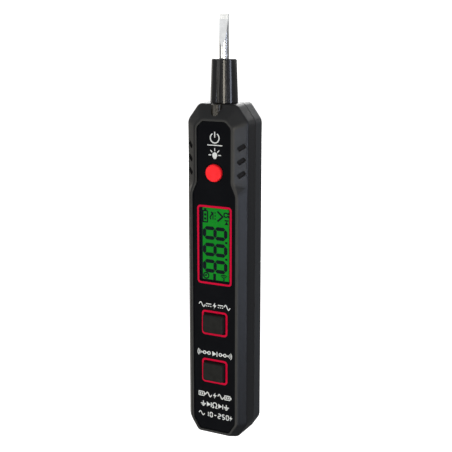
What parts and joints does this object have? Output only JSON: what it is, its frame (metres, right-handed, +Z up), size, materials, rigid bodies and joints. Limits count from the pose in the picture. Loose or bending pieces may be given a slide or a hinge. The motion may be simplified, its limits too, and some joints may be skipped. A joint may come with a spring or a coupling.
{
  "type": "non contact voltage tester",
  "caption": "Pocket pen voltage tester with a lit LCD, round power button, rubber keys, indicator lamp, insulated flat-blade probe and sliding battery door.",
  "frame": {"origin": "centre of the bottom of the bounding box, under the flat lower end of the case", "axes": "+Z runs up the pen to the driver tip, -Y is the front with the display and keys, +X is to the right seen from the front"},
  "size_m": [0.025, 0.0164, 0.16],
  "materials": {
    "shell_plastic": "fine spark texture",
    "face_plastic": "satin",
    "clear_plastic": "clear moulded",
    "white_plastic": "moulded",
    "black_plastic": "glossy",
    "red_plastic": "semi-gloss",
    "key_rubber": "matte",
    "lcd_glass": "lit green",
    "lcd_light": "diffuser",
    "zebra_rubber": "moulded",
    "board": "solder mask",
    "chip_epoxy": "moulded",
    "copper": "plain copper",
    "chrome": "polished",
    "brass": "plain",
    "steel": "plain",
    "spring_steel": "tinned"
  },
  "bodies": {
    "housing": {"front_shell": "shell_plastic", "rear_shell": "shell_plastic", "face_panel": "face_plastic", "window_lens": "clear_plastic", "indicator_lamp": "clear_plastic", "lcd_holder": "white_plastic", "probe_sleeve": "black_plastic", "capacitor": "black_plastic", "buzzer": "black_plastic", "power_switch_case": "black_plastic", "voltage_switch_case": "black_plastic", "continuity_switch_case": "black_plastic", "lcd_glass_front": "lcd_glass", "lcd_glass_rear": "lcd_glass", "lcd_backlight": "lcd_light", "zebra_strip_lower": "zebra_rubber", "zebra_strip_upper": "zebra_rubber", "main_board": "board", "controller_chip": "chip_epoxy", "sensor_plate": "copper", "probe_contact": "copper", "probe_rod": "chrome", "probe_collar": "brass", "battery_link_floor": "brass", "battery_contact_floor": "brass", "case_screw_upper_left": "steel", "case_screw_upper_right": "steel", "case_screw_middle_left": "steel", "case_screw_middle_right": "steel", "case_screw_bottom": "steel", "board_screw_1": "steel", "board_screw_2": "steel", "crystal_can": "steel", "battery_cell_1": "steel", "battery_cell_2": "steel", "battery_cell_3": "steel", "lamp_lead_left": "spring_steel", "lamp_lead_right": "spring_steel"},
    "power_button": {"power_button": "red_plastic", "power_switch_plunger": "white_plastic"},
    "voltage_key": {"voltage_key": "key_rubber", "voltage_switch_plunger": "white_plastic"},
    "continuity_key": {"continuity_key": "key_rubber", "continuity_switch_plunger": "white_plastic"},
    "battery_door": {"battery_door": "shell_plastic", "battery_link_door": "brass", "battery_contact_door": "brass"}
  },
  "joints": [
    {"name": "power_button_press", "type": "slide", "parent": "housing", "child": "power_button", "axis": [0, 1, 0], "range_m": [0, 0.00035], "stiffness_N_per_m": 450},
    {"name": "voltage_key_press", "type": "slide", "parent": "housing", "child": "voltage_key", "axis": [0, 1, 0], "range_m": [0, 0.00035], "stiffness_N_per_m": 350},
    {"name": "continuity_key_press", "type": "slide", "parent": "housing", "child": "continuity_key", "axis": [0, 1, 0], "range_m": [0, 0.00035], "stiffness_N_per_m": 350},
    {"name": "battery_door_slide", "type": "slide", "parent": "housing", "child": "battery_door", "axis": [0, 0, -1], "range_m": [0, 0.066]}
  ]
}
